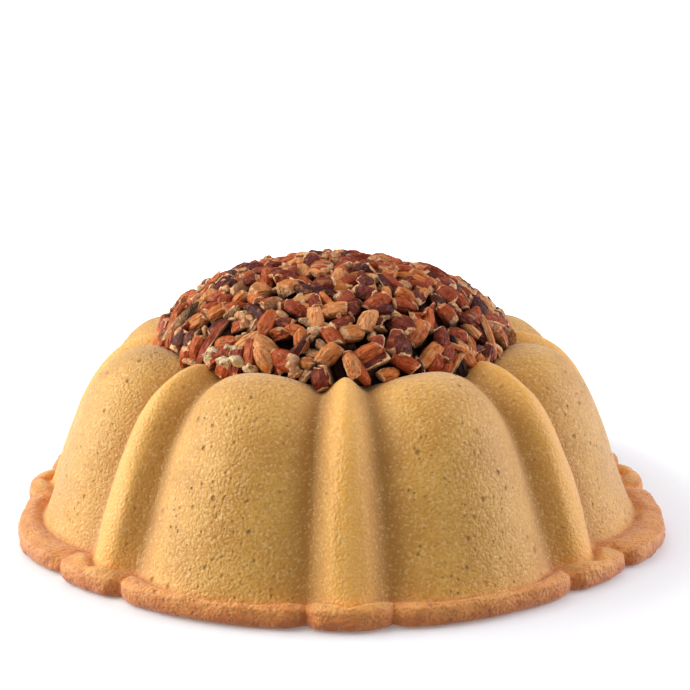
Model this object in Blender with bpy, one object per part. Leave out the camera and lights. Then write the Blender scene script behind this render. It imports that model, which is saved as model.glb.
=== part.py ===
"""Fluted ring-tin cake with a domed crown of chopped pecans.

Metres, +Z up. The origin is the centre of the flat base, with a narrow rib facing -Y.
"""

import math
import random

import bmesh
import bpy
from mathutils import Euler, Vector

MM = 0.001

# The fluting: eight broad lobes with a narrow rib between each two. A groove runs up each side of a rib.
LOBES = 8
PERIOD = 360 / LOBES
GROOVE_DEG = 6.3
GROOVE_SOFTNESS = 0.16
RIB_SOFTNESS = 0.25
LOBE_SPREAD = 0.86

# Side profiles from the foot to the crest, each a cubic curve of (radius, height) in millimetres.
LOBE_PROFILE = ((119.8, 6.5), (107.5, 37.0), (101.5, 77.8), (71.0, 70.0))
RIB_PROFILE = ((119.5, 6.5), (109.0, 34.0), (101.0, 72.0), (70.0, 70.5))
GROOVE_PROFILE = ((112.0, 6.5), (101.0, 32.0), (92.0, 64.0), (68.0, 63.5))
PROFILE_STEPS = (0.0, 0.14, 0.28, 0.42, 0.55, 0.67, 0.78, 0.87, 0.94, 1.0)

# How much each lobe swells past the even shape, from the lobe right of the front rib and round.
LOBE_SWELL = tuple(s * MM for s in (0.3, -0.6, -0.9, 0.7, -0.2, 0.8, 0.9, 0.2))

# The foot: batter that rose over the tin's edge and set as a rolled lip.
FOOT_RADIUS = 130.0 * MM
RIB_FOOT_RADIUS = 129.0 * MM
RIB_FOOT_TAPER = 1.4 * MM
LOBE_FOOT_TAPER = 2.6 * MM
# How much each lobe's foot reaches past the even outline, in the same order as the swells.
FOOT_SWELL = tuple(s * MM for s in (0.0, 1.2, 0.6, 0.0, 0.0, -0.6, -0.8, 0.0))
# The foot is oval, narrow at the front and back: (degrees from the front or back rib, added reach in millimetres).
FOOT_REACH = (
    (0.0, -6.5), (22.5, -6.8), (36.0, -3.5), (45.0, -2.0), (51.0, 0.2),
    (62.0, 2.6), (70.0, 0.6), (76.0, -1.8), (90.0, -1.2),
)
NOTCH_RADIUS = 124.6 * MM
NOTCH_DEG = 6.8
NOTCH_HALF_DEG = 1.5
LIP_HEIGHT = 9.0 * MM
LIP_NOTCH_DROP = 1.6 * MM
LIP_CREST_SHARE = 0.46
GUTTER_DEPTH = 2.4 * MM
GUTTER_WIDTH = 1.6 * MM
GUTTER_SHARE = 0.3
# The lip's outer edge, from the floor up: (inset from the outline, height).
LIP_EDGE = ((2.6 * MM, 0.0), (0.7 * MM, 1.4 * MM), (0.0, 4.2 * MM), (0.8 * MM, 7.5 * MM))

# The top under the nuts.
SEAT_RADIUS = 61.0 * MM
SEAT_HEIGHT = 63.5 * MM

# The crown of nuts: a dome over the whole top, thickest in the middle.
CROWN_CENTRE = Vector((-1.2 * MM, 0.0, 0.0))
CROWN_RADIUS = 75.5 * MM
CROWN_FOOT = 62.0 * MM
CROWN_RISE = 40.5 * MM
CROWN_FULLNESS = 0.5
CROWN_ROOT_DEPTH = 14.0 * MM
CORE_SIDES = 26
CORE_ROWS = 7
ROW_CROWDING = 0.8
NUT_COVER = 4.6 * MM
STEEPEST_SLOPE = 4.0
AREA_STEPS = 120

# The chopped kernels: mostly short chunks, and a few long splinters with a waist ring.
NUT_COUNT = 135
NUT_LENGTHS = (9.0 * MM, 17.0 * MM)
SHORT_NUT_BIAS = 1.7
NUT_WIDTHS = (6.6 * MM, 9.4 * MM)
NUT_THICKNESS = (0.72, 0.95)
NUT_SIDES = 5
NUT_ENDS = ((-0.5, 0.8), (0.5, 0.86))
NUT_WAIST = (0.02, 1.1)
LONG_NUT = 12.0 * MM
GIRTH_SPREAD = (0.9, 1.1)
CORNER_SPREAD = (0.88, 1.08)
BROKEN_SLANT = 0.12
ROLL_LIMIT = 0.5
PITCH_LIMIT = 0.35
NUT_STAND = (0.0, 0.22)
SPIRAL_JITTER = 0.1
SPIRAL_STEP = math.pi * (3 - math.sqrt(5))
SEED = 20

FIT_GAP = 0.35 * MM
SHARP_EDGE = math.radians(40)
SLOPE_STEP = 0.5 * MM

CRUST_COLOUR = (0.62, 0.38, 0.13)
CRUST_ROUGHNESS = 0.6
PECAN_COLOUR = (0.28, 0.1, 0.04)
PECAN_ROUGHNESS = 0.5


def clear_scene():
    for thing in list(bpy.data.objects):
        bpy.data.objects.remove(thing, do_unlink=True)


def material(name, colour, roughness):
    made = bpy.data.materials.new(name)
    made.use_nodes = True
    shader = made.node_tree.nodes["Principled BSDF"]
    shader.inputs["Base Color"].default_value = (*colour, 1.0)
    shader.inputs["Roughness"].default_value = roughness
    shader.inputs["Metallic"].default_value = 0.0
    return made


def ring_of(bm, places):
    return [bm.verts.new(place) for place in places]


def bridge(bm, low, high):
    """Quads between two rings of as many points, the lower one first."""
    for j in range(len(low)):
        n = (j + 1) % len(low)
        bm.faces.new((low[j], low[n], high[n], high[j]))


def object_from(bm, name):
    mesh = bpy.data.meshes.new(name)
    bm.to_mesh(mesh)
    bm.free()
    return bpy.data.objects.new(name, mesh)


def curve_point(profile, t):
    """(radius, height) in metres at t on a cubic curve given in millimetres."""
    weights = ((1 - t) ** 3, 3 * t * (1 - t) ** 2, 3 * t * t * (1 - t), t ** 3)
    radius = sum(w * p[0] for w, p in zip(weights, profile))
    height = sum(w * p[1] for w, p in zip(weights, profile))
    return radius * MM, height * MM


def softened(share):
    """Rounds the valley where a share of the flute's depth starts from 0, and leaves 1 as it is."""
    reach = math.hypot(1, GROOVE_SOFTNESS) - GROOVE_SOFTNESS
    return (math.hypot(share, GROOVE_SOFTNESS) - GROOVE_SOFTNESS) / reach


def rib_share(offset):
    """1 on the rib's edge and 0 in the groove: a ridge with a softly rounded edge."""
    x = abs(offset) / GROOVE_DEG
    reach = math.hypot(1, RIB_SOFTNESS) - RIB_SOFTNESS
    return softened(1 - (math.hypot(x, RIB_SOFTNESS) - RIB_SOFTNESS) / reach)


def lobe_share(offset):
    """1 on the lobe's middle and 0 in the groove: a circular arc."""
    x = offset / (PERIOD / 2 - GROOVE_DEG)
    flat = math.sqrt(1 - LOBE_SPREAD ** 2)
    return softened((math.sqrt(max(0.0, 1 - (LOBE_SPREAD * x) ** 2)) - flat) / (1 - flat))


def fluting(azimuth):
    """(profile, share, swell) of the side at an azimuth in degrees, where 0 is the front rib."""
    from_rib = (azimuth + PERIOD / 2) % PERIOD - PERIOD / 2
    if abs(from_rib) < GROOVE_DEG:
        return RIB_PROFILE, rib_share(from_rib), 0.0
    lobe = int(azimuth % 360 // PERIOD)
    share = lobe_share(PERIOD / 2 - abs(from_rib))
    return LOBE_PROFILE, share, LOBE_SWELL[lobe]


def side_point(azimuth, t):
    """(radius, height) on the cake's side at a share t of the way from the foot to the crest."""
    profile, share, swell = fluting(azimuth)
    low = curve_point(GROOVE_PROFILE, t)
    high = curve_point(profile, t)
    bulge = swell * share * math.sin(math.pi * t)
    radius = low[0] + (high[0] - low[0]) * share + bulge
    height = low[1] + (high[1] - low[1]) * share
    return radius, height


def foot_reach(azimuth):
    """What the oval adds to the foot's radius at an azimuth."""
    turned = azimuth % 180
    turned = min(turned, 180 - turned)
    for low, high in zip(FOOT_REACH, FOOT_REACH[1:]):
        if turned <= high[0]:
            return (low[1] + (high[1] - low[1]) * (turned - low[0]) / (high[0] - low[0])) * MM
    return FOOT_REACH[-1][1] * MM


def foot_radius(azimuth):
    """(radius, opening) of the lip: a long arc under each lobe and a short blunt point under each rib.

    The opening is 0 in the notch between the two and 1 a little way from it.
    """
    from_rib = abs((azimuth + PERIOD / 2) % PERIOD - PERIOD / 2)
    if from_rib < NOTCH_DEG:
        outer = RIB_FOOT_RADIUS - RIB_FOOT_TAPER * from_rib / NOTCH_DEG
    else:
        from_middle = 1 - (from_rib - NOTCH_DEG) / (PERIOD / 2 - NOTCH_DEG)
        outer = FOOT_RADIUS - LOBE_FOOT_TAPER * from_middle ** 2
        outer += FOOT_SWELL[int(azimuth % 360 // PERIOD)]
    opening = math.sqrt(min(1.0, abs(from_rib - NOTCH_DEG) / NOTCH_HALF_DEG))
    return NOTCH_RADIUS + (outer - NOTCH_RADIUS) * opening + foot_reach(azimuth), opening


def section(azimuth):
    """(radius, height) points of the outer skin from the base's edge to the seat under the nuts."""
    outer, opening = foot_radius(azimuth)
    wall = side_point(azimuth, 0.0)
    crest_radius = wall[0] + (outer - wall[0]) * LIP_CREST_SHARE
    crest = LIP_HEIGHT - LIP_NOTCH_DROP * (1 - opening)
    points = [(outer - inset, height * crest / LIP_HEIGHT) for inset, height in LIP_EDGE]
    points.append((crest_radius, crest))
    gutter = min(GUTTER_WIDTH, GUTTER_SHARE * (outer - wall[0]))
    points.append((wall[0] + gutter, crest - GUTTER_DEPTH))
    points += [side_point(azimuth, t) for t in PROFILE_STEPS]
    points.append((SEAT_RADIUS, SEAT_HEIGHT))
    return points


def azimuth_stops():
    """Azimuths round the cake, closest together at the ribs and notches."""
    half = (0.0, 2.4, 5.2, NOTCH_DEG, 8.4, 12.2, 17.0)
    one = [*half, PERIOD / 2, *(PERIOD - a for a in reversed(half[1:]))]
    return [start * PERIOD + a for start in range(LOBES) for a in one]


def cake_skin(name, grow=0.0):
    """The whole cake as a closed mesh object, grown outwards by a margin when it serves as a cutter."""
    bm = bmesh.new()
    rings = []
    for azimuth in azimuth_stops():
        turn = math.radians(azimuth)
        places = [(r * math.sin(turn), -r * math.cos(turn), z) for r, z in section(azimuth)]
        rings.append(ring_of(bm, places))
    for left, right in zip(rings, rings[1:] + rings[:1]):
        for k in range(len(left) - 1):
            bm.faces.new((left[k], right[k], right[k + 1]))
            bm.faces.new((left[k], right[k + 1], left[k + 1]))
    bm.faces.new([ring[0] for ring in reversed(rings)])
    bm.faces.new([ring[-1] for ring in rings])
    bm.normal_update()
    for vertex in bm.verts:
        vertex.co += vertex.normal * grow
    made = object_from(bm, name)
    bpy.context.scene.collection.objects.link(made)
    return made


def crown_height(radius, cover=0.0):
    """Height of the crown's dome at a distance from its middle, less a cover."""
    share = max(0.0, 1 - (radius / (CROWN_RADIUS - cover)) ** 2)
    return CROWN_FOOT + (CROWN_RISE - cover) * share ** CROWN_FULLNESS


def crown_core(name):
    """The bare dome that the nuts sit on, reaching down into the cake until it is cut to it."""
    bm = bmesh.new()
    rings = []
    for k in range(CORE_ROWS):
        radius = (CROWN_RADIUS - NUT_COVER) * math.cos(0.5 * math.pi * k / CORE_ROWS) ** ROW_CROWDING
        height = crown_height(radius, NUT_COVER)
        turns = [math.tau * (j + 0.5 * (k % 2)) / CORE_SIDES for j in range(CORE_SIDES)]
        places = [Vector((radius * math.cos(a), radius * math.sin(a), height)) for a in turns]
        rings.append(ring_of(bm, [place + CROWN_CENTRE for place in places]))
    root = ring_of(bm, [v.co - Vector((0, 0, CROWN_ROOT_DEPTH)) for v in rings[0]])
    bm.faces.new(list(reversed(root)))
    for low, high in zip([root, *rings], rings):
        bridge(bm, low, high)
    top = bm.verts.new(CROWN_CENTRE + Vector((0, 0, crown_height(0.0, NUT_COVER))))
    for j in range(CORE_SIDES):
        bm.faces.new((rings[-1][j], rings[-1][(j + 1) % CORE_SIDES], top))
    core = object_from(bm, name)
    bpy.context.scene.collection.objects.link(core)
    return core


def chopped_nut(draw, length, width):
    """A short rounded log of few sides, with two broken ends that slant."""
    bm = bmesh.new()
    thick = width * draw.uniform(*NUT_THICKNESS)
    stations = [*NUT_ENDS]
    if length > LONG_NUT:
        stations.insert(1, NUT_WAIST)
    rings = []
    for along, girth in stations:
        girth *= draw.uniform(*GIRTH_SPREAD)
        slant = draw.uniform(-BROKEN_SLANT, BROKEN_SLANT)
        places = []
        for j in range(NUT_SIDES):
            turn = math.tau * j / NUT_SIDES
            reach = 0.5 * girth * draw.uniform(*CORNER_SPREAD)
            x = length * (along + slant * math.cos(turn))
            places.append((x, width * reach * math.cos(turn), thick * reach * math.sin(turn)))
        rings.append(ring_of(bm, places))
    for low, high in zip(rings, rings[1:]):
        bridge(bm, low, high)
    bm.faces.new(list(reversed(rings[0])))
    bm.faces.new(rings[-1])
    bmesh.ops.recalc_face_normals(bm, faces=bm.faces)
    return object_from(bm, "nut")


def dome_rows():
    """(area, radius) pairs down the dome: the area of the cap inside each radius."""
    reach = CROWN_RADIUS - NUT_COVER
    rows = [(0.0, 0.0)]
    last = (0.0, crown_height(0.0, NUT_COVER))
    for k in range(1, AREA_STEPS + 1):
        radius = reach * math.sin(0.5 * math.pi * k / AREA_STEPS)
        here = (radius, crown_height(radius, NUT_COVER))
        slant = math.hypot(here[0] - last[0], here[1] - last[1])
        rows.append((rows[-1][0] + math.pi * (here[0] + last[0]) * slant, radius))
        last = here
    return rows


def radius_at(rows, share):
    """Radius inside which this share of the dome's area lies."""
    area = share * rows[-1][0]
    for low, high in zip(rows, rows[1:]):
        if high[0] >= area:
            return low[1] + (high[1] - low[1]) * (area - low[0]) / (high[0] - low[0])
    return rows[-1][1]


def crown_spot(rows, index, draw):
    """Place and outward direction of one nut: turning by the golden angle spreads them evenly."""
    radius = radius_at(rows, (index + 0.5) / NUT_COUNT)
    turn = index * SPIRAL_STEP + draw.uniform(-SPIRAL_JITTER, SPIRAL_JITTER)
    inside = crown_height(radius - SLOPE_STEP, NUT_COVER)
    fall = crown_height(radius + SLOPE_STEP, NUT_COVER) - inside
    slope = max(fall / (2 * SLOPE_STEP), -STEEPEST_SLOPE)
    flat = Vector((math.cos(turn), math.sin(turn), 0))
    outward = Vector((0, 0, 1)) - flat * slope
    place = CROWN_CENTRE + flat * radius + Vector((0, 0, crown_height(radius, NUT_COVER)))
    return place, outward.normalized()


def scatter_nuts(collection):
    draw = random.Random(SEED)
    rows = dome_rows()
    for index in range(NUT_COUNT):
        place, outward = crown_spot(rows, index, draw)
        size = draw.random() ** SHORT_NUT_BIAS
        length = NUT_LENGTHS[0] + (NUT_LENGTHS[1] - NUT_LENGTHS[0]) * size
        width = draw.uniform(*NUT_WIDTHS)
        nut = chopped_nut(draw, length, width)
        roll = draw.uniform(-ROLL_LIMIT, ROLL_LIMIT)
        pitch = draw.uniform(-PITCH_LIMIT, PITCH_LIMIT)
        tilt = Euler((roll, pitch, draw.uniform(0, math.tau)))
        turn = outward.to_track_quat("Z", "Y").to_matrix() @ tilt.to_matrix()
        nut.matrix_world = turn.to_4x4()
        nut.location = place + outward * draw.uniform(*NUT_STAND) * width
        collection.objects.link(nut)


def fuse(target, collection):
    """Joins every object of the collection to the target, then removes them."""
    join = target.modifiers.new("fuse", "BOOLEAN")
    join.operation = "UNION"
    join.operand_type = "COLLECTION"
    join.collection = collection
    join.solver = "MANIFOLD"
    apply_modifiers(target)
    for thing in list(collection.objects):
        bpy.data.objects.remove(thing, do_unlink=True)
    bpy.data.collections.remove(collection)


def cut(target, cutter):
    """Takes the cutter's shape out of the target, then removes the cutter."""
    trim = target.modifiers.new("trim", "BOOLEAN")
    trim.operation = "DIFFERENCE"
    trim.object = cutter
    trim.solver = "MANIFOLD"
    apply_modifiers(target)
    bpy.data.objects.remove(cutter, do_unlink=True)


def apply_modifiers(target):
    graph = bpy.context.evaluated_depsgraph_get()
    graph.update()
    shaped = bpy.data.meshes.new_from_object(target.evaluated_get(graph))
    target.modifiers.clear()
    target.data = shaped


def shells_of(bm):
    """The mesh's vertices in groups that edges join."""
    left = set(bm.verts)
    shells = []
    while left:
        shell = [left.pop()]
        for vertex in shell:
            near = {edge.other_vert(vertex) for edge in vertex.link_edges} & left
            left -= near
            shell.extend(near)
        shells.append(shell)
    return shells


def keep_largest_shell(target):
    """Drops loose scraps and the walls of sealed hollows, so that one closed skin is left."""
    bm = bmesh.new()
    bm.from_mesh(target.data)
    shells = sorted(shells_of(bm), key=len)
    for shell in shells[:-1]:
        bmesh.ops.delete(bm, geom=shell, context="VERTS")
    bmesh.ops.triangulate(bm, faces=bm.faces)
    bm.to_mesh(target.data)
    bm.free()


def make_cake():
    cake = cake_skin("cake")
    cake.data.shade_smooth()
    cake.data.set_sharp_from_angle(angle=SHARP_EDGE)
    cake.data.materials.append(material("golden_crust", CRUST_COLOUR, CRUST_ROUGHNESS))
    return cake


def make_crown():
    crown = crown_core("pecan_crown")
    nuts = bpy.data.collections.new("nuts")
    bpy.context.scene.collection.children.link(nuts)
    scatter_nuts(nuts)
    bpy.context.view_layer.update()
    fuse(crown, nuts)
    cut(crown, cake_skin("cake_margin", grow=FIT_GAP))
    keep_largest_shell(crown)
    crown.data.materials.clear()
    crown.data.materials.append(material("chopped_pecans", PECAN_COLOUR, PECAN_ROUGHNESS))
    return crown


def main():
    clear_scene()
    make_cake()
    make_crown()


main()
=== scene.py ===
# %% [markdown]
# # A fluted butter cake under chopped pecans
#
# The object is a whole cake, 260 mm across its foot, turned out of a fluted ring tin.
# Its top is heaped with chopped pecans that a thin icing holds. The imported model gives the
# true sizes of two solids, the cake and the heap. This script dresses them: the cake gets
# its baked crust, and real kernels take the place of the heap.

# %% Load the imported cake
import math
import random

import bmesh
import bpy
import numpy as np
from mathutils import Euler, Matrix, Vector
from mathutils.bvhtree import BVHTree


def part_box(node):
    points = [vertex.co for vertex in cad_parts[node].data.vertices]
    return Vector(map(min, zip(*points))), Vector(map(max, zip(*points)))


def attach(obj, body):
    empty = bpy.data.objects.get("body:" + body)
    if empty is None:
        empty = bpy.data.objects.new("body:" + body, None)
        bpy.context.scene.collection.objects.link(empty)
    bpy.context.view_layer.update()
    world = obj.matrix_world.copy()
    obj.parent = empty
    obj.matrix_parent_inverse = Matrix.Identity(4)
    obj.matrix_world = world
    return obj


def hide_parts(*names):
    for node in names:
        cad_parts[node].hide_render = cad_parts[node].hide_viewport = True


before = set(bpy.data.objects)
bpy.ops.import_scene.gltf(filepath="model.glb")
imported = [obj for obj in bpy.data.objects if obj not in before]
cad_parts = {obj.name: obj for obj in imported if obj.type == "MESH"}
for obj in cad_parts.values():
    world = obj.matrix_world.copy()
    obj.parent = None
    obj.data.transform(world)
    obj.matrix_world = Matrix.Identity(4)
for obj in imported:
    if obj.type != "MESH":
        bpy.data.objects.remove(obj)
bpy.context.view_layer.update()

MM = 0.001

# %% [markdown]
# ## The camera
#
# The photo looks a little down on the cake from the front, with one narrow rib facing the
# lens. A camera is found by measuring: the foot's notches, the ribs and the lobes' crests
# were matched to a cake of known size, which gave the distance, the height and the lens.
# The values are named here, so that the view can be set again on another object of the kind.

# %% Set the camera at the photo's viewpoint
IMAGE_SIZE = 690
LENS_PIXELS = 1062.4
SENSOR_WIDTH = 36.0
CAMERA_DISTANCE = 451.6 * MM
CAMERA_ELEVATION = math.radians(20.98)
CAMERA_PITCH = math.radians(13.02)
CAMERA_YAW = math.radians(0.35)
CAMERA_ROLL = math.radians(-0.13)
CAKE_TURN = math.radians(1.72)


def camera_matrix():
    """Where the camera stands, looking along its pitch and yaw, with the cake's turn undone."""
    level = CAMERA_DISTANCE * math.cos(CAMERA_ELEVATION)
    place = Vector((0, -level, CAMERA_DISTANCE * math.sin(CAMERA_ELEVATION)))
    flat = math.cos(CAMERA_PITCH)
    ahead = Vector((math.sin(CAMERA_YAW) * flat, math.cos(CAMERA_YAW) * flat, -math.sin(CAMERA_PITCH)))
    right = ahead.cross(Vector((0, 0, 1))).normalized()
    above = right.cross(ahead)
    axes = Matrix((right, above, -ahead)).transposed().to_4x4()
    around = Matrix.Rotation(-CAKE_TURN, 4, "Z") @ Matrix.Translation(place)
    return around @ Matrix.Rotation(CAMERA_ROLL, 4, ahead) @ axes


bpy.ops.object.select_all(action="DESELECT")
bpy.ops.object.camera_add()
camera = bpy.context.object
camera.name = "camera"
camera.data.sensor_width = SENSOR_WIDTH
camera.data.lens = LENS_PIXELS / IMAGE_SIZE * SENSOR_WIDTH
camera.matrix_world = camera_matrix()
bpy.context.scene.camera = camera
print("lens:", round(camera.data.lens, 1), "mm")

# %% [markdown]
# ## Helpers for modelling
#
# An operator works on whatever is selected, as it does under the mouse. So each step here
# first selects one object, and in edit mode picks vertices or faces by their place. The
# small functions below do that, apply a modifier, and store a number on each vertex for a
# material to read. Blender does not number a new sphere's vertices the same way in every
# run, so another function puts them in order, and a seeded jitter then gives the same shape.

# %% Select, edit and apply
def only(piece):
    """Selects one object and makes it the active one."""
    bpy.ops.object.select_all(action="DESELECT")
    piece.select_set(True)
    bpy.context.view_layer.objects.active = piece


def edit(piece):
    only(piece)
    bpy.ops.object.mode_set(mode="EDIT")
    bpy.ops.mesh.select_all(action="SELECT")


def leave_edit():
    bpy.ops.object.mode_set(mode="OBJECT")


def pick(piece, test):
    """In edit mode, selects the vertices whose place passes a test."""
    bpy.ops.mesh.select_mode(type="VERT")
    bpy.ops.mesh.select_all(action="DESELECT")
    shape = bmesh.from_edit_mesh(piece.data)
    for vertex in shape.verts:
        if test(vertex.co):
            vertex.select_set(True)
    shape.select_flush_mode()
    bmesh.update_edit_mesh(piece.data)


def add_sphere(segments, rings, radius):
    """A new sphere, with its vertices and faces put in order of their place."""
    bpy.ops.object.select_all(action="DESELECT")
    bpy.ops.mesh.primitive_uv_sphere_add(segments=segments, ring_count=rings, radius=radius)
    piece = bpy.context.object
    place = [tuple(round(c, 6) + 0.0 for c in vertex.co) for vertex in piece.data.vertices]
    rank = sorted(range(len(place)), key=place.__getitem__)
    number = {old: new for new, old in enumerate(rank)}
    faces = []
    for face in piece.data.polygons:
        loop = [number[index] for index in face.vertices]
        first = loop.index(min(loop))
        faces.append(loop[first:] + loop[:first])
    piece.data.clear_geometry()
    piece.data.from_pydata([place[old] for old in rank], [], sorted(faces))
    return piece


def modify(piece, kind, **settings):
    """Adds a modifier with its settings and applies it."""
    only(piece)
    modifier = piece.modifiers.new(kind.lower(), kind)
    for name, value in settings.items():
        setattr(modifier, name, value)
    bpy.ops.object.modifier_apply(modifier=modifier.name)


def store(piece, name, values, kind="FLOAT"):
    """Stores a number or a vector on each vertex under a name."""
    layer = piece.data.attributes.new(name, kind, "POINT")
    field = "value" if kind == "FLOAT" else "vector"
    layer.data.foreach_set(field, np.asarray(values, np.float32).ravel())


def places(piece):
    """The piece's vertices as rows of x, y and z."""
    rows = np.empty(len(piece.data.vertices) * 3)
    piece.data.vertices.foreach_get("co", rows)
    return rows.reshape(-1, 3)


def clouds(name, size):
    """A procedural texture of soft lumps of about one size, for the Displace modifier."""
    texture = bpy.data.textures.new(name, "CLOUDS")
    texture.noise_scale = size
    texture.noise_depth = 2
    return texture


# %% [markdown]
# ## Helpers for materials
#
# A colour is written as the hex code that a paint program shows. Blender computes with
# linear light, so one function turns the code into linear values. Another adds a shader
# node with its settings, its values and its links in a single call.

# %% Colours and shader nodes
def linear(code):
    """The linear RGBA of an sRGB hex colour."""
    shares = [int(code[i:i + 2], 16) / 255 for i in (1, 3, 5)]
    curve = [s / 12.92 if s <= 0.04045 else ((s + 0.055) / 1.055) ** 2.4 for s in shares]
    return (*curve, 1.0)


def add_node(tree, kind, inputs=None, stops=None, **settings):
    """Adds a node. An input's value is a number, a colour or another node's output."""
    node = tree.nodes.new(kind)
    for name, value in settings.items():
        setattr(node, name, value)
    for socket, value in (inputs or {}).items():
        if isinstance(value, bpy.types.NodeSocket):
            tree.links.new(value, node.inputs[socket])
        else:
            node.inputs[socket].default_value = value
    for k, (position, colour) in enumerate(stops or ()):
        ramp = node.color_ramp.elements
        stop = ramp[k] if k < 2 else ramp.new(position)
        stop.position = position
        stop.color = colour
    return node


def per_size(size):
    """A texture's scale that makes its features about this long in metres."""
    return 1 / size


def new_material(name):
    """(material, node tree, Principled shader) of a fresh material."""
    made = bpy.data.materials.new(name)
    made.use_nodes = True
    return made, made.node_tree, made.node_tree.nodes["Principled BSDF"]


def blend_colours(tree, share, first, second):
    """Output of a node that mixes two colours by a share."""
    mix = add_node(tree, "ShaderNodeMix", {0: share, 6: first, 7: second}, data_type="RGBA")
    return mix.outputs[2]


def maths(tree, operation, first, second=0.0):
    node = add_node(tree, "ShaderNodeMath", {0: first, 1: second}, operation=operation)
    return node.outputs[0]


def between(tree, value, low, high):
    """A smooth step: 0 below the low value and 1 above the high one."""
    limits = {0: value, 1: low, 2: high}
    step = add_node(tree, "ShaderNodeMapRange", limits, interpolation_type="SMOOTHSTEP")
    return step.outputs[0]


# %% [markdown]
# ## The crust's finish
#
# The cake is a butter sponge baked against a greased tin. The tin leaves a thin golden skin
# with the ends of small gas bubbles in it: ochre pores of 0.5 to 3 mm. The narrow ribs
# touched the hot metal on both sides, so they are a deeper yellow. They are also painted
# lighter than the lobes: painted light for the extra side light that a rib standing out from
# the grooves catches. The grooves are painted a darker brown, a painted shade for the shade in
# them. Pale specks in the grain are partly cream crumb and partly painted glints. The foot rose
# over the tin's edge into the oven's dry air and is browned like a biscuit. The skin is matte
# with a slight buttery gleam. Numbers stored on the vertices say where rib, groove and foot are.

# %% The baked butter crust
MOTTLE_SIZE = 14 * MM
PATCH_SIZE = 5 * MM
CLUSTER_SIZE = 9 * MM
GRAIN_SIZE = 1.0 * MM
PORE_DEPTH = 0.6 * MM
SPECK_SIZE = 1.0 * MM
WOBBLE_SIZE = 2 * MM
WOBBLE_SHIFT = 0.8 * MM
# cell size, share of the cells that hold a pore, and the widest pore's reach in a cell
WIDE_PORES = (6.0 * MM, 0.45, 0.32)
PITS = (3.1 * MM, 0.5, 0.42)
FINE_PORES = (1.7 * MM, 0.8, 0.5)
HOLES = (3.6 * MM, 0.3, 0.2)


def noise(tree, place, size, detail=3.0):
    """Smooth noise whose lumps are about this long."""
    node = add_node(tree, "ShaderNodeTexNoise", {"Vector": place, "Scale": per_size(size), "Detail": detail})
    return node.outputs["Fac"]


def pores(tree, place, size, share, width):
    """A mask that is 1 in the middle of a pore: round pits in some cells of a Voronoi pattern."""
    cells = add_node(tree, "ShaderNodeTexVoronoi", {"Vector": place, "Scale": per_size(size)})
    chosen = add_node(tree, "ShaderNodeSeparateColor", {0: cells.outputs["Color"]})
    reach = maths(tree, "MULTIPLY", chosen.outputs[1], width)
    pit = between(tree, maths(tree, "SUBTRACT", reach, cells.outputs["Distance"]), 0.0, 0.8 * width)
    present = maths(tree, "LESS_THAN", chosen.outputs[0], share)
    return maths(tree, "MULTIPLY", pit, present)


def ragged(tree, place, size, shift):
    """Places shifted by noise, which makes round pits uneven."""
    wobble = add_node(tree, "ShaderNodeTexNoise", {"Vector": place, "Scale": per_size(size), "Detail": 2.0})
    moved = add_node(
        tree, "ShaderNodeVectorMath", {0: wobble.outputs["Color"], "Scale": shift}, operation="SCALE"
    )
    return add_node(tree, "ShaderNodeVectorMath", {0: place, 1: moved.outputs[0]}, operation="ADD").outputs[0]


def tint(tree, colour, mask, strength, code):
    """The colour, tinted with a hex colour where the mask is 1."""
    return blend_colours(tree, maths(tree, "MULTIPLY", mask, strength), colour, linear(code))


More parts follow.
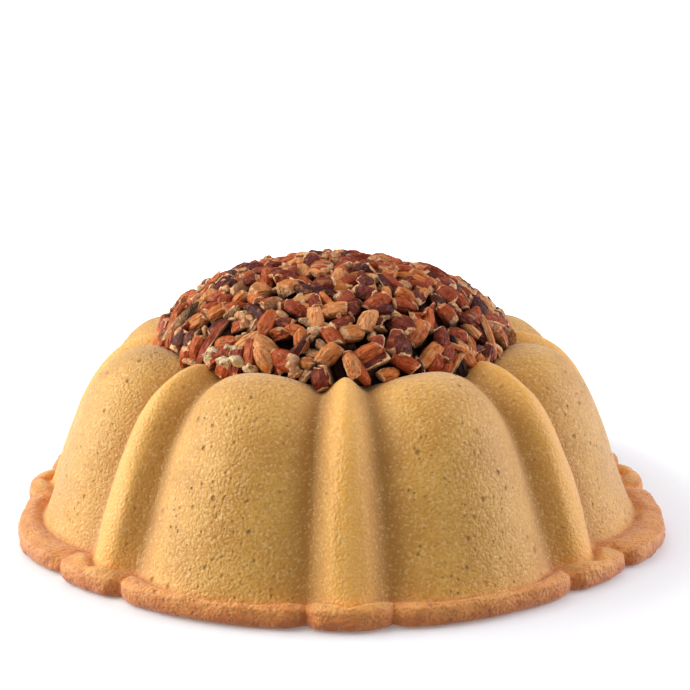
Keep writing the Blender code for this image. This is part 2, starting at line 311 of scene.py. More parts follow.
def baked_crust():
    made, tree, shader = new_material("baked_butter_crust")
    place = add_node(tree, "ShaderNodeTexCoord").outputs["Object"]
    rib, groove, foot, low = (
        add_node(tree, "ShaderNodeAttribute", attribute_name=name).outputs["Fac"]
        for name in ("rib", "groove", "foot", "low")
    )
    mottle = noise(tree, place, MOTTLE_SIZE)
    patch = noise(tree, place, PATCH_SIZE)
    grain = noise(tree, place, GRAIN_SIZE, 2.0)
    bent = ragged(tree, place, WOBBLE_SIZE, WOBBLE_SHIFT)
    wide = pores(tree, bent, *WIDE_PORES)
    pits = pores(tree, bent, *PITS)
    fine = pores(tree, bent, *FINE_PORES)
    cluster = between(tree, noise(tree, place, CLUSTER_SIZE), 0.38, 0.6)
    fine = maths(tree, "MULTIPLY", fine, cluster)
    holes = pores(tree, bent, *HOLES)
    smooth = maths(tree, "MAXIMUM", rib, groove)
    porous = maths(tree, "SUBTRACT", 1.0, maths(tree, "MULTIPLY", smooth, 0.85))
    wide, pits, fine, holes = (maths(tree, "MULTIPLY", mask, porous) for mask in (wide, pits, fine, holes))
    rough = maths(tree, "MULTIPLY", between(tree, grain, 0.5, 0.66), porous)

    colour = blend_colours(tree, between(tree, mottle, 0.35, 0.68), linear("#E2A94A"), linear("#D5993C"))
    colour = tint(tree, colour, between(tree, patch, 0.52, 0.75), 0.5, "#EAB55C")
    # Painted light: the ribs are tinted lighter than the lobes for the extra side light that a rib standing
    # out from the grooves catches, besides their deeper yellow.
    colour = tint(tree, colour, rib, 0.9, "#FFBC5A")
    rib_patch = maths(tree, "MULTIPLY", rib, between(tree, patch, 0.42, 0.62))
    colour = tint(tree, colour, rib_patch, 0.45, "#F4B03C")
    # Painted shade: the grooves are tinted a darker brown for the shade that falls in them.
    colour = tint(tree, colour, groove, 0.55, "#A86E28")
    colour = tint(tree, colour, rough, 0.38, "#B4762A")
    # Pale specks in the grain: partly cream crumb, partly painted glints.
    pale = between(tree, maths(tree, "SUBTRACT", 1.0, grain), 0.55, 0.68)
    colour = tint(tree, colour, pale, 0.5, "#F6D494")
    colour = tint(tree, colour, fine, 0.9, "#94601A")
    colour = tint(tree, colour, pits, 0.85, "#9C6814")
    colour = tint(tree, colour, wide, 0.5, "#B98324")
    colour = tint(tree, colour, holes, 0.75, "#6E4014")

    speck = between(tree, noise(tree, bent, SPECK_SIZE, 3.0), 0.5, 0.62)
    toast = blend_colours(tree, between(tree, patch, 0.35, 0.65), linear("#EEA453"), linear("#E08E3F"))
    dark = blend_colours(tree, between(tree, patch, 0.3, 0.6), linear("#E88C3E"), linear("#D2702C"))
    toast = blend_colours(tree, low, toast, dark)
    toast = tint(tree, toast, speck, 0.5, "#A8652F")
    toast = tint(tree, toast, maths(tree, "MULTIPLY", pits, low), 0.7, "#6E3516")
    toast = tint(tree, toast, maths(tree, "MULTIPLY", fine, low), 0.5, "#7C3F1B")
    colour = blend_colours(tree, foot, colour, toast)
    tree.links.new(colour, shader.inputs["Base Color"])

    hollow = maths(tree, "ADD", pits, maths(tree, "MULTIPLY", fine, 0.5))
    hollow = maths(tree, "ADD", hollow, maths(tree, "MULTIPLY", wide, 0.6))
    hollow = maths(tree, "ADD", hollow, holes)
    relief = maths(tree, "SUBTRACT", grain, hollow)
    bump = add_node(tree, "ShaderNodeBump", {"Height": relief, "Strength": 0.9, "Distance": PORE_DEPTH})
    tree.links.new(bump.outputs[0], shader.inputs["Normal"])
    shader.inputs["Roughness"].default_value = 0.5
    shader.inputs["IOR"].default_value = 1.45
    shader.inputs["Sheen Weight"].default_value = 0.35
    shader.inputs["Sheen Roughness"].default_value = 0.5
    return made


crust = baked_crust()
print("crust:", len(crust.node_tree.nodes), "nodes")

# %% [markdown]
# ## The cake
#
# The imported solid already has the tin's form: eight broad lobes, a narrow rib between each
# two, and the rolled foot. Its faces are flat triangles. Modelling it all again could only
# move it off its sizes, so this step takes a copy, merges the loose triangles, joins them
# to quads again and rounds the quads with a Subdivision Surface. The soft unevenness of a
# baked crumb is then raised with Displace modifiers, strongest on the foot.

# %% Copy the body and round it
FOOT_TOP = 9.1 * MM
WALL_START = 6.5 * MM
LIP_EDGE_HEIGHTS = (7.5 * MM, 6.17 * MM)
GUTTER_HEIGHTS = (6.6 * MM, 5.0 * MM)
LOBES = 8
NOTCH_AT = 6.8
RIB_EDGE = 2.4
RIB_FOOT = 5.2
RIB_EDGE_OUT = 1.4 * MM
RIB_FOOT_OUT = 0.5 * MM
RIB_FROM = 8 * MM
RIB_TO = 62 * MM
RIB_END = 66 * MM
MERGE_DISTANCE = 0.01 * MM


def copy_of(node_name, piece_name):
    """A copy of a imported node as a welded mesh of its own."""
    piece = bpy.data.objects.new(piece_name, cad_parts[node_name].data.copy())
    bpy.context.scene.collection.objects.link(piece)
    edit(piece)
    bpy.ops.mesh.remove_doubles(threshold=MERGE_DISTANCE)
    bpy.ops.mesh.customdata_custom_splitnormals_clear()
    leave_edit()
    piece.data.materials.clear()
    return piece


def is_foot(place):
    """True on the lip's own vertices: the wall's lowest ring starts at a known height."""
    return place[2] < FOOT_TOP and abs(place[2] - WALL_START) > 0.02 * MM


def at_height(place, heights):
    """True on the lip at one of these heights."""
    return is_foot(place) and any(abs(place[2] - height) < 0.06 * MM for height in heights)


def from_rib(x, y):
    """Degrees between a place and the rib that is nearest to it."""
    period = 360 / LOBES
    return np.abs((np.degrees(np.arctan2(x, -y)) + period / 2) % period - period / 2)


def crease(piece, test, sharpness):
    """Keeps the edges whose ends pass a test tighter when the mesh is rounded."""
    pick(piece, test)
    bpy.ops.transform.edge_crease(value=sharpness)


cake = copy_of("cake", "golden_cake")
edit(cake)
bpy.ops.mesh.tris_convert_to_quads(
    face_threshold=math.radians(70), shape_threshold=math.radians(110), topology_influence=1.0
)
for middle, reach in ((RIB_EDGE, RIB_EDGE_OUT), (RIB_FOOT, RIB_FOOT_OUT)):
    pick(cake, lambda co: abs(from_rib(co.x, co.y) - middle) < 0.5 and RIB_FROM < co.z < RIB_TO)
    bpy.ops.transform.shrink_fatten(value=reach)
crease(cake, lambda co: is_foot(co) and abs(from_rib(co.x, co.y) - NOTCH_AT) < 0.3, 0.8)
crease(cake, lambda co: at_height(co, LIP_EDGE_HEIGHTS), 0.85)
crease(cake, lambda co: at_height(co, GUTTER_HEIGHTS), 0.5)
crease(cake, lambda co: is_foot(co) and from_rib(co.x, co.y) < 0.3, 0.55)
crease(cake, lambda co: WALL_START < co.z < RIB_END and abs(from_rib(co.x, co.y) - RIB_EDGE) < 0.5, 0.45)
leave_edit()
print("faces:", len(cake.data.polygons), "quads:", sum(len(p.vertices) == 4 for p in cake.data.polygons))
store(cake, "foot", [float(is_foot(v.co)) for v in cake.data.vertices])
modify(cake, "SUBSURF", levels=2, render_levels=2)
edit(cake)
pick(cake, lambda co: 0.3 * MM < co.z < FOOT_TOP + 0.5 * MM)
bpy.ops.mesh.subdivide(number_cuts=1)
leave_edit()
print("golden_cake:", sum(len(p.vertices) - 2 for p in cake.data.polygons), "triangles")

# %% Mark ribs, grooves and the browned underside of the foot
RIB_HALF = 4.2
GROOVE_AT = 6.6
GROOVE_HALF = 3.0
LOW_START = 8.0 * MM
LOW_FULL = 2.5 * MM

rows = places(cake)
turned = from_rib(rows[:, 0], rows[:, 1])
# The rib share carries the ribs' painted light and the groove share the grooves' painted shade in the crust;
# both also make the crust less porous there.
store(cake, "rib", np.exp(-((turned / RIB_HALF) ** 2)))
store(cake, "groove", np.exp(-(((turned - GROOVE_AT) / GROOVE_HALF) ** 2)))
height = np.clip((LOW_START - rows[:, 2]) / (LOW_START - LOW_FULL), 0, 1)
store(cake, "low", height)

# %% Raise the crumb's soft unevenness
BASE_HEIGHT = 0.6 * MM


def weight(piece, name, values):
    """A vertex group with one weight for each vertex."""
    group = piece.vertex_groups.new(name=name)
    for index, value in enumerate(values):
        if value > 0:
            group.add([index], float(value), "REPLACE")


foot_share = np.empty(len(rows), np.float32)
cake.data.attributes["foot"].data.foreach_get("value", foot_share)
off_base = np.clip(rows[:, 2] / BASE_HEIGHT - 1, 0, 1)
weight(cake, "skin", off_base)
weight(cake, "foot_skin", off_base * foot_share)
for name, size, strength, group in (
    ("slow_rise", 22 * MM, 0.9 * MM, "skin"),
    ("crumb_lumps", 5 * MM, 0.22 * MM, "skin"),
    ("foot_lumps", 7 * MM, 1.1 * MM, "foot_skin"),
    ("foot_crumbs", 1.9 * MM, 0.6 * MM, "foot_skin"),
):
    modify(
        cake, "DISPLACE", texture=clouds(name, size), strength=strength, mid_level=0.5,
        texture_coords="LOCAL", vertex_group=group,
    )
cake.vertex_groups.clear()
only(cake)
bpy.ops.object.shade_smooth()
cake.data.materials.append(crust)
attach(cake, "root")
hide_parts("cake")

# %% [markdown]
# ## The pecans' finishes
#
# A pecan kernel has a thin papery skin, from tan through red-brown to dark maroon, with fine
# wrinkles along it and a satin gleam. Where the knife broke it, the flesh shows: cream to
# tan, dull and rough. Each chopped piece carries its own tone and its own small coordinates
# on its vertices, so the wrinkles follow the piece however it lies in the heap.

# %% Pecan skin and pecan flesh
WRINKLE_SIZE = 0.9 * MM
FLESH_GRAIN = 1.3 * MM
FLECK_SIZE = 2.4 * MM
BLOTCH_SIZE = 3 * MM
FLESH_CLOUD = 2.5 * MM
SKIN_RELIEF = 1.5 * MM
FLESH_RELIEF = 2.2 * MM


def nut_place(tree):
    """The piece's own coordinates in metres, which were stored before it was laid in the heap."""
    return add_node(tree, "ShaderNodeAttribute", attribute_name="grain").outputs["Vector"]


def pecan_flesh_colour(tree, place):
    cloud = noise(tree, place, FLESH_CLOUD)
    mixed = blend_colours(tree, between(tree, cloud, 0.36, 0.66), linear("#FFD2A0"), linear("#D68E56"))
    tone = add_node(tree, "ShaderNodeAttribute", attribute_name="tone").outputs["Fac"]
    return blend_colours(tree, maths(tree, "MULTIPLY", tone, 0.5), mixed, linear("#DA9460"))


def with_painted_gap_shade(tree, colour):
    """The colour, tinted near black-brown as a painted shade where a nut lies deep between the others."""
    deep = add_node(tree, "ShaderNodeAttribute", attribute_name="deep").outputs["Fac"]
    # Painted shade: the deep parts of a nut are tinted near black-brown for the shade in the gaps between the
    # nuts.
    return tint(tree, colour, deep, 0.92, "#160603")


def pecan_skin():
    made, tree, shader = new_material("pecan_skin")
    place = nut_place(tree)
    tone = add_node(tree, "ShaderNodeAttribute", attribute_name="tone").outputs["Fac"]
    broken = add_node(tree, "ShaderNodeAttribute", attribute_name="broken").outputs["Fac"]
    stretched = add_node(
        tree, "ShaderNodeMapping", {"Vector": place, "Scale": (0.22, 1.0, 1.0)}
    ).outputs["Vector"]
    wrinkles = noise(tree, stretched, WRINKLE_SIZE)
    blotch = noise(tree, place, BLOTCH_SIZE)
    toned = maths(tree, "ADD", tone, maths(tree, "MULTIPLY", maths(tree, "SUBTRACT", blotch, 0.5), 0.5))
    stops = (
        (0.0, "#46120A"), (1.0, "#EAA062"), (0.22, "#7C2810"), (0.45, "#AC4418"),
        (0.68, "#C65C24"), (0.86, "#DC823C"),
    )
    colour = add_node(
        tree, "ShaderNodeValToRGB", {0: toned}, stops=[(at, linear(code)) for at, code in stops]
    ).outputs[0]
    streak = between(tree, wrinkles, 0.5, 0.7)
    colour = blend_colours(tree, maths(tree, "MULTIPLY", streak, 0.5), colour, linear("#3A0C05"))
    fleck = noise(tree, place, FLECK_SIZE)
    colour = tint(tree, colour, between(tree, fleck, 0.54, 0.7), 0.5, "#D48650")
    uneven = maths(tree, "MULTIPLY", maths(tree, "SUBTRACT", blotch, 0.5), 1.4)
    chipped = between(tree, maths(tree, "ADD", broken, uneven), 0.55, 0.69)
    colour = blend_colours(tree, chipped, colour, pecan_flesh_colour(tree, place))
    tree.links.new(with_painted_gap_shade(tree, colour), shader.inputs["Base Color"])
    relief = maths(tree, "ADD", wrinkles, blotch)
    bump = add_node(tree, "ShaderNodeBump", {"Height": relief, "Strength": 1.0, "Distance": SKIN_RELIEF})
    tree.links.new(bump.outputs[0], shader.inputs["Normal"])
    shader.inputs["Roughness"].default_value = 0.4
    shader.inputs["IOR"].default_value = 1.33
    return made


def pecan_flesh():
    made, tree, shader = new_material("pecan_flesh")
    place = nut_place(tree)
    tree.links.new(with_painted_gap_shade(tree, pecan_flesh_colour(tree, place)), shader.inputs["Base Color"])
    grit = noise(tree, place, FLESH_GRAIN, 4.0)
    bump = add_node(tree, "ShaderNodeBump", {"Height": grit, "Strength": 1.0, "Distance": FLESH_RELIEF})
    tree.links.new(bump.outputs[0], shader.inputs["Normal"])
    shader.inputs["Roughness"].default_value = 0.7
    shader.inputs["IOR"].default_value = 1.35
    return made


skin = pecan_skin()
flesh = pecan_flesh()
FLESH = 1
print("nut materials:", skin.name, flesh.name)

# %% [markdown]
# ## Chopping a kernel
#
# A knife breaks a pecan half along and across its grooves into short logs, slices and
# splinters. So one kernel is modelled and then broken: a sphere of twelve sides is laid on
# its side and stretched, some of its lengthwise lines are pushed in for the grooves, and
# Bisect cuts off its ends at a slant, and often one side, and fills the cuts. Each filled
# face is poked and split with a fractal jitter, which gives it the torn look of a nut
# broken rather than sawn. About ten shapes of each kind are made and used many times over.
#
# A random jitter runs through the vertices in their order, so they are sorted before it by
# their distance from a point off every axis, and the same seed gives the same nuts each time.

# %% Model and chop one kernel
LOG_SIDES = 12
LOG_RINGS = 6
SORT_FROM = (31 * MM, 57 * MM, 83 * MM)


def jitter(offset, seed):
    """In edit mode, sorts everything selected and moves it at random by up to an offset."""
    cursor = bpy.context.scene.cursor
    cursor.location = SORT_FROM
    bpy.ops.mesh.sort_elements(type="CURSOR_DISTANCE", elements={"VERT", "EDGE", "FACE"})
    cursor.location = (0, 0, 0)
    bpy.ops.transform.vertex_random(offset=offset, seed=seed)


def kernel(size, grooves, depth, seed):
    """A round log of a length, width and thickness. The grooves are angles round its long axis."""
    piece = add_sphere(LOG_SIDES, LOG_RINGS, 0.5)
    piece.data.materials.append(skin)
    piece.data.materials.append(flesh)
    edit(piece)
    bpy.ops.transform.rotate(value=math.pi / 2, orient_axis="Y", center_override=(0, 0, 0))
    for angle in grooves:
        pick(piece, lambda co: abs(math.degrees(math.atan2(co.z, co.y)) - angle) < 5 and co.yz.length > 0.1)
        bpy.ops.transform.resize(value=(1, 1 - depth, 1 - depth), center_override=(0, 0, 0))
    bpy.ops.mesh.select_all(action="SELECT")
    bpy.ops.transform.resize(value=size, center_override=(0, 0, 0))
    jitter(0.06 * size[1], seed)
    return piece


def chop(piece, place, direction, seed):
    """Breaks off what lies past a plane and roughens the new face. The piece is in edit mode."""
    bpy.ops.mesh.select_mode(type="VERT")
    bpy.ops.mesh.select_all(action="SELECT")
    bpy.ops.mesh.bisect(plane_co=place, plane_no=direction, use_fill=True, clear_outer=True)
    bpy.ops.mesh.select_mode(type="FACE")
    piece.active_material_index = FLESH
    bpy.ops.object.material_slot_assign()
    bpy.ops.mesh.poke()
    bpy.ops.mesh.subdivide(number_cuts=1, fractal=1.4, fractal_along_normal=0.7, seed=seed)


def finish_shape(piece, name):
    """Leaves edit mode, names the piece, marks what is broken and smooths it by angle."""
    leave_edit()
    piece.name = name
    mesh = piece.data
    broken = np.zeros(len(mesh.vertices))
    for face in mesh.polygons:
        if face.material_index == FLESH:
            broken[list(face.vertices)] = 1
    store(piece, "broken", broken)
    only(piece)
    bpy.ops.object.shade_smooth_by_angle(angle=math.radians(42))
    return piece


print("kernels are cut from spheres of", LOG_SIDES * LOG_RINGS, "faces")

# %% Make the shapes of each kind
SHAPE_SEED = 7
KINDS = {
    # name: (shapes, lengths, widths, thickness share, grooves, depth, ends cut, side cut)
    "chunk": (14, (7.0, 11.0), (5.6, 7.6), (0.8, 1.0), (90,), 0.2, 1.6, 0.5),
    "slice": (9, (7.0, 9.5), (8.2, 10.2), (0.6, 0.74), (60, 120), 0.22, 1.8, 0.4),
    "splinter": (9, (11.5, 17.0), (4.8, 6.4), (0.75, 0.95), (90,), 0.22, 0.8, 0.6),
    "crumb": (12, (4.0, 6.5), (3.6, 5.4), (0.7, 0.95), (60, -60), 0.35, 1.5, 0.9),
}


def chopped_shape(kind, index, draw):
    """One broken kernel of a kind, about its own middle. Its size is read later from the object's dimensions.
    """
    _, lengths, widths, thickness, grooves, depth, ends, side_cut = KINDS[kind]
    length, width = draw.uniform(*lengths) * MM, draw.uniform(*widths) * MM
    thick = width * draw.uniform(*thickness)
    whole = length * draw.uniform(1.25, 1.7)
    piece = kernel((whole, width, thick), grooves, depth * draw.uniform(0.5, 1.2), draw.randrange(999))
    cuts = [1, -1] if draw.random() < ends - 1 else [draw.choice((1, -1))] if draw.random() < ends else []
    for side in cuts:
        slant = Vector((side, draw.uniform(-0.6, 0.6), draw.uniform(-0.6, 0.6))).normalized()
        chop(piece, (side * length / 2, 0, 0), slant, draw.randrange(999))
    if draw.random() < side_cut:
        turn = draw.gauss(-math.pi / 2, 1.1)
        across = Vector((draw.uniform(-0.2, 0.2), math.cos(turn), math.sin(turn))).normalized()
        chop(piece, across * draw.uniform(0.05, 0.3) * thick, across, draw.randrange(999))
    if kind == "crumb":
        bpy.ops.mesh.select_all(action="SELECT")
        jitter(0.5 * MM, draw.randrange(999))
        if draw.random() < 0.75:
            piece.active_material_index = FLESH
            bpy.ops.object.material_slot_assign()
    return finish_shape(piece, f"{kind}_{index}")


draw = random.Random(SHAPE_SEED)
shapes = {}
for kind, facts in KINDS.items():
    shapes[kind] = [chopped_shape(kind, index, draw) for index in range(facts[0])]
    counts = [sum(len(p.vertices) - 2 for p in s.data.polygons) for s in shapes[kind]]
    print(kind, "shapes:", len(counts), "triangles:", min(counts), "to", max(counts))

# %% [markdown]
# ## Settling the nuts on the dome
#
# The heap is a dome over the whole top. Nuts dropped at random would run through each
# other, and a rigid-body simulation is slow. Here each nut is three balls in a row that
# push their neighbours away while the dome pulls them back, so the nuts spread out, turn
# side by side and come to rest just touching. The cake's own crest is an obstacle, which
# lets the lowest nuts sit on the lobes and reach down between them. No nut is pushed far
# out of the heap by it, because a stray one would lie bare on the crust.

# %% The dome's form
crown_low, crown_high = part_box("pecan_crown")
CROWN_MIDDLE = (crown_low + crown_high) / 2
CROWN_RADIUS = 73.5 * MM
CROWN_FOOT = 62.0 * MM
CROWN_TOP = crown_high.z - 2.8 * MM
CROWN_FULLNESS = 0.5


def dome_table(cover):
    """Rows of (elevation angle, radius, height) down the dome, less a cover."""
    radius = (CROWN_RADIUS - cover) * np.sin(np.linspace(0, math.pi / 2, 400))
    share = np.clip(1 - (radius / (CROWN_RADIUS - cover)) ** 2, 0, 1) ** CROWN_FULLNESS
    rise = (CROWN_TOP - CROWN_FOOT - cover) * share
    return np.arctan2(rise, radius)[::-1], radius[::-1], (CROWN_FOOT + rise)[::-1]


def on_dome(table, points, lowest):
    """(places, normals): each point moved along its elevation angle onto the dome, above a height."""
    angles, radii, heights = table
    flat = points[:, :2] - np.array(CROWN_MIDDLE[:2])
    out = np.hypot(flat[:, 0], flat[:, 1])
    elevation = np.arctan2(points[:, 2] - CROWN_FOOT, out)
    elevation = np.clip(elevation, np.interp(lowest, heights, angles), math.pi / 2)
    radius = np.interp(elevation, angles, radii)
    level = np.interp(elevation, angles, heights)
    ahead = flat / np.maximum(out, 1e-9)[:, None]
    step = 0.02
    run = np.interp(elevation + step, angles, radii) - np.interp(elevation - step, angles, radii)
    climb = np.interp(elevation + step, angles, heights) - np.interp(elevation - step, angles, heights)
    slope = np.stack([climb, -run], 1) / np.hypot(run, climb)[:, None]
    places_on = np.column_stack([ahead * radius[:, None] + np.array(CROWN_MIDDLE[:2]), level])
    normals = np.column_stack([ahead * slope[:, :1], slope[:, 1]])
    return places_on, normals


print("dome:", round(CROWN_RADIUS / MM), "mm radius, top at", round(CROWN_TOP / MM, 1), "mm")

# %% Let the nuts push each other apart
cake_surface = BVHTree.FromPolygons(
    [v.co for v in cake.data.vertices], [p.vertices for p in cake.data.polygons]
)
SINK = 0.5 * MM
MOST_OUT = 2 * MM
CREST_RADIUS = 70 * MM
CREST_STEP = 0.5 * MM


def crest_heights():
    """Height of the cake's top at the heap's edge for each degree, in steps, so each run is the same."""
    heights = []
    for degree in range(361):
        turn = math.radians(degree)
        above = Vector((math.cos(turn) * CREST_RADIUS, math.sin(turn) * CREST_RADIUS, 0.2))
        heights.append(cake_surface.ray_cast(above, Vector((0, 0, -1)))[0].z)
    return np.round(np.array(heights) / CREST_STEP) * CREST_STEP


crest = crest_heights()
print("crest under the heap's edge:", round(crest.min() / MM, 1), "to", round(crest.max() / MM, 1), "mm")


def rest_height(points, widths):
    """The lowest that a nut's middle may lie above the cake's crest at its side of the dome."""
    degree = np.degrees(np.arctan2(points[:, 1], points[:, 0])) % 360
    return np.interp(degree, np.arange(361), crest) + widths / 2 - SINK


def clear_of_cake(ball, radius):
    """How far a ball has to move so that it sinks no deeper into the cake than the icing lets it."""
    place, normal, _, _ = cake_surface.find_nearest(ball)
    depth = radius - SINK - (ball - place).dot(normal)
    return normal * depth if depth > 0 else Vector()


def settle(count, cover, lengths, widths, seed, rounds=60):
    """(places, normals, headings) of nuts spread over the dome at a depth below its outline."""
    chance = np.random.default_rng(seed)
    table = dome_table(cover)
    direction = chance.normal(size=(count, 3))
    direction[:, 2] = np.abs(direction[:, 2]) * 0.8
    direction /= np.linalg.norm(direction, axis=1)[:, None]
    spots = direction * CROWN_RADIUS + np.array([*CROWN_MIDDLE[:2], CROWN_FOOT])
    heading = chance.normal(size=(count, 3))
    reach = np.maximum(lengths - widths, 0)[:, None, None] / 2
    owner = np.repeat(np.arange(count), 3)
    radius = np.repeat(widths / 2, 3)
    touch = radius[:, None] + radius[None, :]
    other = owner[:, None] != owner[None, :]
    for _ in range(rounds):
        spots, normals = on_dome(table, spots, rest_height(spots, widths))
        heading -= (heading * normals).sum(1)[:, None] * normals
        heading /= np.linalg.norm(heading, axis=1)[:, None]
        balls = spots[:, None, :] + heading[:, None, :] * reach * np.array([-1, 0, 1])[None, :, None]
        flat = balls.reshape(-1, 3)
        apart = flat[:, None, :] - flat[None, :, :]
        distance = np.sqrt((apart ** 2).sum(2)) + 1e-9
        overlap = np.where(other, np.clip(touch - distance, 0, None), 0)
        push = (apart * (overlap / distance)[:, :, None]).sum(1).reshape(count, 3, 3)
        spots = spots + np.clip(0.25 * push.sum(1), -2 * MM, 2 * MM)
        heading += (push[:, 2] - push[:, 0]) / np.maximum(lengths, 1e-4)[:, None] * 0.3
    spots, normals = on_dome(table, spots, rest_height(spots, widths))
    settled = spots.copy()
    for index in range(count):
        for share in (0, -1, 1):
            ball = Vector(spots[index] + heading[index] * float(reach[index, 0, 0]) * share)
            spots[index] += clear_of_cake(ball, widths[index] / 2)
    out = ((spots - settled) * normals).sum(1)
    spots -= np.clip(out - MOST_OUT, 0, None)[:, None] * normals
    return spots, normals, heading


# %% [markdown]
# ## Filling the heap
#
# Two layers are settled: an outer one that shows, and one under it that fills the gaps with
# more nuts in the shade. Every nut is a copy with its own mesh. Its small coordinates, its
# tone and its place are written into that mesh, and the copies of each kind are then joined
# into one piece.

# %% Lay and join the nuts
LAYERS = (
    # name, nuts, depth of their middles below the outline, seed
    ("outer", 590, 3.0 * MM, 11),
    ("under", 400, 7.6 * MM, 12),
)
KIND_SHARES = {"chunk": 0.5, "slice": 0.12, "splinter": 0.14, "crumb": 0.24}
SHADE_FROM = 1.4 * MM
SHADE_FULL = 4.4 * MM
copies = {kind: [] for kind in KINDS}


def lay(shape, place, normal, heading, cover, draw):
    """A copy of a shape in the heap, with its tone, coordinates and depth in its mesh."""
    across = normal.cross(heading).normalized()
    lying = Matrix((heading, across, normal)).transposed()
    roll = draw.gauss(0, 0.7)
    tilt = Euler((roll, draw.uniform(-0.35, 0.35), draw.uniform(-0.2, 0.2))).to_matrix()
    scale = Matrix.Diagonal([draw.uniform(0.88, 1.1) for _ in range(3)])
    piece = bpy.data.objects.new("nut", shape.data.copy())
    own = places(piece) + np.array([draw.uniform(-1, 1) for _ in range(3)])
    store(piece, "grain", own, "FLOAT_VECTOR")
    store(piece, "tone", np.full(len(own), draw.random()))
    piece.data.transform(Matrix.Translation(place) @ (lying @ tilt @ scale).to_4x4())
    # How far each vertex lies below the heap's outline, which drives the painted shade in the gaps.
    below = cover - (places(piece) - np.array(place)) @ np.array(normal)
    store(piece, "deep", np.clip((below - SHADE_FROM) / (SHADE_FULL - SHADE_FROM), 0, 1))
    bpy.context.scene.collection.objects.link(piece)
    return piece


for layer, count, cover, seed in LAYERS:
    draw = random.Random(seed)
    chosen = draw.choices(list(KIND_SHARES), list(KIND_SHARES.values()), k=count)
    picked = [draw.choice(shapes[kind]) for kind in chosen]
    lengths = np.array([round(shape.dimensions.x, 5) for shape in picked])
    widths = np.array([round((shape.dimensions.y + shape.dimensions.z) / 2, 5) for shape in picked])
    spots, normals, headings = settle(count, cover, lengths, widths * 0.92, seed)
    for kind, shape, spot, normal, heading in zip(chosen, picked, spots, normals, headings):
        lift = draw.uniform(-0.5, 1.0) * MM
        place = Vector(spot) + Vector(normal) * lift
        copies[kind].append(lay(shape, place, Vector(normal), Vector(heading).normalized(), cover, draw))
    print(layer, "layer:", count, "nuts, lowest", round(spots[:, 2].min() / MM, 1), "mm")


def join(parts, name):
    """Joins copies into one named piece."""
    bpy.ops.object.select_all(action="DESELECT")
    for part in parts:
        part.select_set(True)
    bpy.context.view_layer.objects.active = parts[0]
    bpy.ops.object.join()
    joined = bpy.context.object
    joined.name = name
    return joined


for kind, parts in copies.items():
    piece = join(parts, f"pecan_{kind}s")
    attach(piece, "root")
    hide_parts("pecan_crown")
    print(piece.name, "triangles:", sum(len(p.vertices) - 2 for p in piece.data.polygons))
for made in shapes.values():
    for shape in made:
        bpy.data.objects.remove(shape, do_unlink=True)

# %% [markdown]
# ## The icing under the nuts
#
# A thin sugar icing was spread on the top before the nuts were pressed into it. Almost all
# of it is hidden. What shows between the nuts is painted near black-brown, a painted shade for
# the deep gaps, with a few pale patches of icing. It is a low dome, raised in soft lumps. A few
# dabs of it stand out at the edge.

# %% The icing bed, near black-brown as painted shade between the nuts
BED_COVER = 9.0 * MM
BED_LUMP = 11 * MM
BED_SWELL = 5 * MM
ICING_PATCH_SIZE = 16 * MM
ICING_LUMP = 1.5 * MM
ICING_RELIEF = 0.6 * MM
DUST_SIZE = 1.6 * MM
DUST_RELIEF = 0.8 * MM


def icing_and_gap_shade():
    made, tree, shader = new_material("icing_and_gap_shade")
    place = add_node(tree, "ShaderNodeTexCoord").outputs["Object"]
    icing_patch = between(tree, noise(tree, place, ICING_PATCH_SIZE, 2.0), 0.5, 0.6)
    # Painted shade: the bed is near black-brown where it shows in the gaps between the nuts, and the noise
    # lays pale patches of icing on it.
    colour = blend_colours(tree, icing_patch, linear("#200C06"), linear("#CDBFA8"))
    tree.links.new(colour, shader.inputs["Base Color"])
    lumps = noise(tree, place, ICING_LUMP)
    bump = add_node(tree, "ShaderNodeBump", {"Height": lumps, "Distance": ICING_RELIEF})
    tree.links.new(bump.outputs[0], shader.inputs["Normal"])
    shader.inputs["Roughness"].default_value = 0.45
    shader.inputs["IOR"].default_value = 1.48
    return made


def dab_icing():
    """Set sugar icing, stained pale tan, with nut dust in it."""
    made, tree, shader = new_material("dab_icing")
    place = add_node(tree, "ShaderNodeTexCoord").outputs["Object"]
    dust = noise(tree, place, DUST_SIZE)
    colour = blend_colours(tree, between(tree, dust, 0.55, 0.68), linear("#D8BE94"), linear("#94683F"))
    tree.links.new(colour, shader.inputs["Base Color"])
    bump = add_node(tree, "ShaderNodeBump", {"Height": dust, "Strength": 1.0, "Distance": DUST_RELIEF})
    tree.links.new(bump.outputs[0], shader.inputs["Normal"])
    shader.inputs["Roughness"].default_value = 0.6
    shader.inputs["IOR"].default_value = 1.45
    return made


bed = add_sphere(72, 48, 1)
bed.name = "icing_bed_and_gap_shade"
edit(bed)
bpy.ops.mesh.bisect(plane_co=(0, 0, 0), plane_no=(0, 0, -1), use_fill=True, clear_outer=True)
bpy.ops.mesh.select_all(action="SELECT")
bed_radius = CROWN_RADIUS - BED_COVER
bed_size = (bed_radius, bed_radius, CROWN_TOP - CROWN_FOOT - BED_COVER)
bpy.ops.transform.resize(value=bed_size, center_override=(0, 0, 0))
bpy.ops.transform.translate(value=(CROWN_MIDDLE.x, CROWN_MIDDLE.y, CROWN_FOOT))
leave_edit()
modify(
    bed, "DISPLACE", texture=clouds("icing_lumps", BED_LUMP), strength=BED_SWELL, mid_level=0.6,
    texture_coords="LOCAL",
)
only(bed)
bpy.ops.object.shade_smooth()
bed.data.materials.append(icing_and_gap_shade())
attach(bed, "root")
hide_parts("pecan_crown")
print("icing_bed_and_gap_shade:", [round(c / MM, 1) for c in bed.dimensions], "mm")

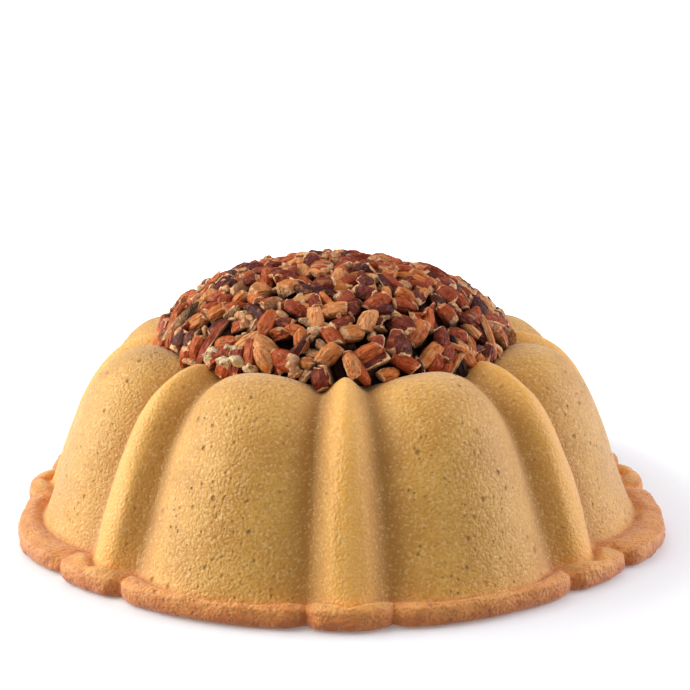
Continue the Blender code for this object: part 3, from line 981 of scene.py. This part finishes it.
# %% Dabs of icing at the heap's edge
DABS = (
    # degrees round from the front rib, radius and height in mm, length in mm
    (-43, 70, 71.5, 6), (-40.5, 69, 73.5, 7), (-36, 70, 71, 8), (-36, 67, 75, 7),
    (-32, 69.5, 71.5, 8), (-28, 70, 70, 6), (-10, 58.5, 82.5, 6), (118, 71, 74, 8),
    (165, 71, 74, 7), (-110, 71, 74, 8),
)
DAB_WIDTH = 0.8
DAB_THICK = 0.45
DAB_LEAN = math.radians(-55)
DAB_LUMP = 1.8 * MM
DAB_SWELL = 3.2 * MM

dabs = []
for azimuth, radius, level, length in DABS:
    turn = math.radians(azimuth)
    dab = add_sphere(28, 18, 0.5)
    edit(dab)
    dab_size = (length * MM, length * DAB_THICK * MM, length * DAB_WIDTH * MM)
    bpy.ops.transform.resize(value=dab_size, center_override=(0, 0, 0))
    bpy.ops.transform.rotate(value=DAB_LEAN, orient_axis="X", center_override=(0, 0, 0))
    bpy.ops.transform.rotate(value=-turn, orient_axis="Z", center_override=(0, 0, 0))
    spot = (radius * MM * math.sin(turn), -radius * MM * math.cos(turn), level * MM)
    bpy.ops.transform.translate(value=spot)
    leave_edit()
    dabs.append(dab)
icing_dabs = join(dabs, "icing_dabs")
modify(
    icing_dabs, "DISPLACE", texture=clouds("dab_lumps", DAB_LUMP), strength=DAB_SWELL, mid_level=0.5,
    texture_coords="LOCAL",
)
only(icing_dabs)
bpy.ops.object.shade_smooth()
icing_dabs.data.materials.append(dab_icing())
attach(icing_dabs, "root")
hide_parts("pecan_crown")
print("icing_dabs:", len(DABS))

# %% [markdown]
# ## The studio
#
# The photo is a product shot on a white sweep, lit by a large softbox on each side, the left
# one stronger, with a bright white room round it. The front of the cake gets least light, so
# its lobes are modelled by the sides. The floor is plain paper round the cake, which catches
# the shadow, and is lit from behind farther out.

# %% Floor, sky and lights
FLOOR_SIZE = 6.0
FLOOR_GLOW = 0.12
GLOW_FROM = 0.136
GLOW_FULL = 0.22
WALL_HEIGHT = 4.0
SOFTBOX_SIZE = 0.85
AIM = (0, 0, 0.05)


def plain_white(name, glow):
    """Matte white paper of a studio sweep, lit from behind as much as its glow says."""
    made, _, shader = new_material(name)
    shader.inputs["Base Color"].default_value = linear("#EEF0F4")
    shader.inputs["Roughness"].default_value = 0.9
    shader.inputs["Emission Color"].default_value = linear("#FFFFFF")
    shader.inputs["Emission Strength"].default_value = glow
    return made


def softbox(name, place, aim, size, power, colour):
    """A square area light at a place, turned to look at a point."""
    bpy.ops.object.select_all(action="DESELECT")
    bpy.ops.object.light_add(type="AREA", location=place)
    light = bpy.context.object
    light.name = name
    light.data.size = size
    light.data.energy = power
    light.data.color = linear(colour)[:3]
    light.rotation_euler = (Vector(aim) - Vector(place)).to_track_quat("-Z", "Y").to_euler()
    return light


bpy.ops.object.select_all(action="DESELECT")
bpy.ops.mesh.primitive_plane_add(size=FLOOR_SIZE)
floor = bpy.context.object
floor.name = "floor"
floor.data.materials.append(plain_white("white_floor_paper", FLOOR_GLOW))
paper = floor.data.materials[0].node_tree
place = add_node(paper, "ShaderNodeTexCoord").outputs["Object"]
away = add_node(paper, "ShaderNodeVectorMath", {0: place}, operation="LENGTH").outputs["Value"]
glow = maths(paper, "MULTIPLY", between(paper, away, GLOW_FROM, GLOW_FULL), 1.0 - FLOOR_GLOW)
glow = maths(paper, "ADD", glow, FLOOR_GLOW)
paper.links.new(glow, paper.nodes["Principled BSDF"].inputs["Emission Strength"])

bpy.ops.object.select_all(action="DESELECT")
bpy.ops.mesh.primitive_cylinder_add(
    vertices=64, radius=0.49 * FLOOR_SIZE, depth=WALL_HEIGHT, end_fill_type="NOTHING"
)
wall = bpy.context.object
wall.name = "backdrop"
wall.data.materials.append(plain_white("white_wall_paper", 1.0))
for kind in ("diffuse", "glossy", "transmission", "shadow"):
    setattr(wall, f"visible_{kind}", False)
floor.visible_diffuse = False

sky = bpy.data.worlds.new("studio_white")
sky.use_nodes = True
background = sky.node_tree.nodes["Background"]
background.inputs["Color"].default_value = linear("#FFFFFF")
background.inputs["Strength"].default_value = 0.3
bpy.context.scene.world = sky
bpy.context.scene.view_settings.view_transform = "Standard"

softbox("left_softbox", (-1.0, -0.06, 0.36), AIM, SOFTBOX_SIZE, 13.3, "#FFFEFA")
softbox("right_softbox", (1.0, -0.03, 0.36), AIM, SOFTBOX_SIZE, 9.4, "#F8F6FF")
bpy.ops.object.select_all(action="DESELECT")
bpy.ops.object.light_add(type="SUN", location=(0, 0, 2), rotation=(math.radians(-6), math.radians(-28), 0))
overhead = bpy.context.object
overhead.name = "overhead_sheet"
overhead.data.energy = 1.1
overhead.data.angle = math.radians(80)
